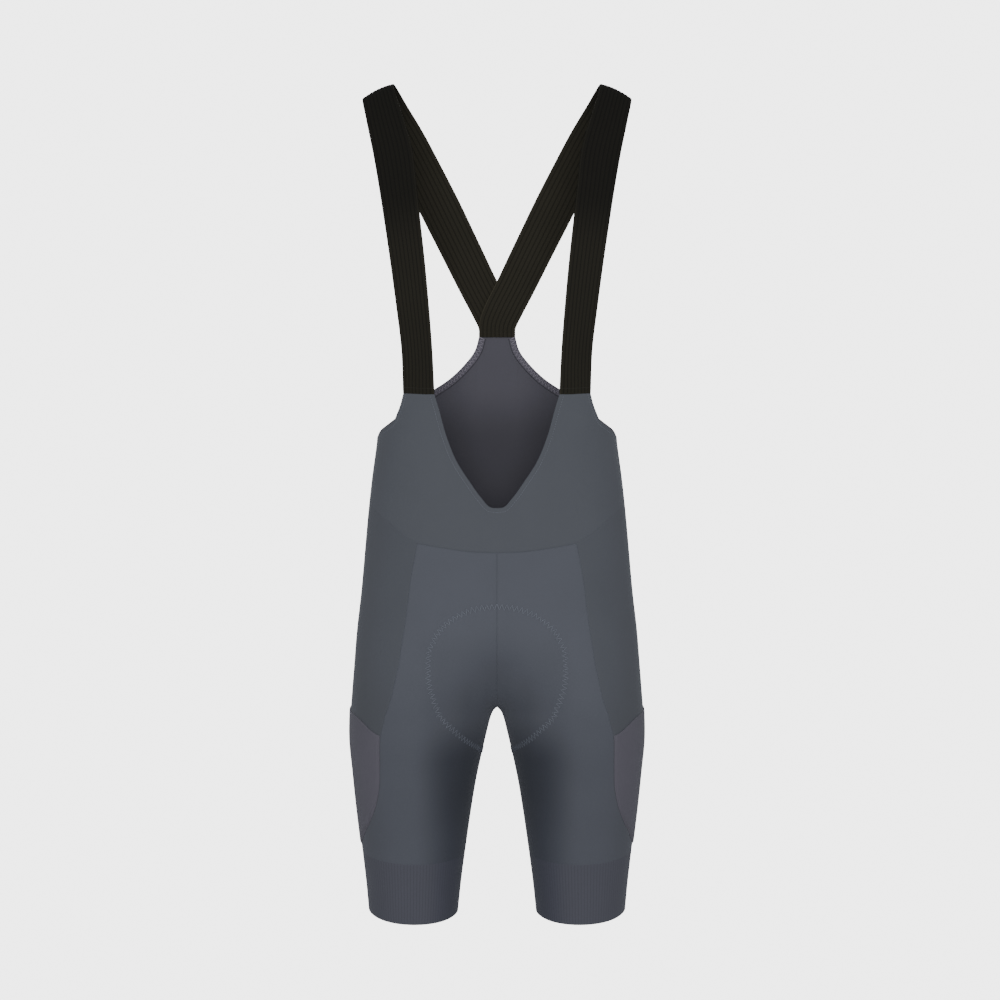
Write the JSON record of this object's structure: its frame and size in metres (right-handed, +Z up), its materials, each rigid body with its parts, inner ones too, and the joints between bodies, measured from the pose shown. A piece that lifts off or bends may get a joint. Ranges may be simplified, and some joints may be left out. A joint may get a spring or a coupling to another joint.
{
  "type": "cycling bib shorts",
  "caption": "Men's cycling bib shorts, filled out as worn: low bib, ribbed elastic straps crossed at the back, mesh thigh pockets, gripper hems and a seat pad.",
  "frame": {"origin": "midway between the shoulders, at the height of the underside of the straps where the shoulders carry them", "axes": "+Z up, +X to the wearer's left, the front faces -Y"},
  "size_m": [0.332, 0.2139, 0.9309],
  "materials": {
    "panel": "slate blue-grey stretch knit, faint sheen",
    "chest": "slate blue-grey stretch knit, fine",
    "back": "slate grey light stretch knit",
    "side": "slate blue-grey stretch knit",
    "mesh": "slate grey pocket mesh",
    "band": "fine ribbed gripper knit",
    "tape": "grey edge tape with a cross rib",
    "elastic": "black ribbed elastic, matt",
    "pad": "brushed pad cover, matt"
  },
  "bodies": {
    "root": {"front_bib": "chest", "back_bib": "back", "front_leg_left": "panel", "front_leg_right": "panel", "back_leg_left": "panel", "back_leg_right": "panel", "side_panel_left": "side", "side_panel_right": "side", "pocket_left": "mesh", "pocket_right": "mesh", "leg_band_left": "band", "leg_band_right": "band", "edge_tape_left": "tape", "edge_tape_right": "tape", "strap_left": "elastic", "strap_right": "elastic", "seat_pad": "pad"}
  },
  "joints": []
}
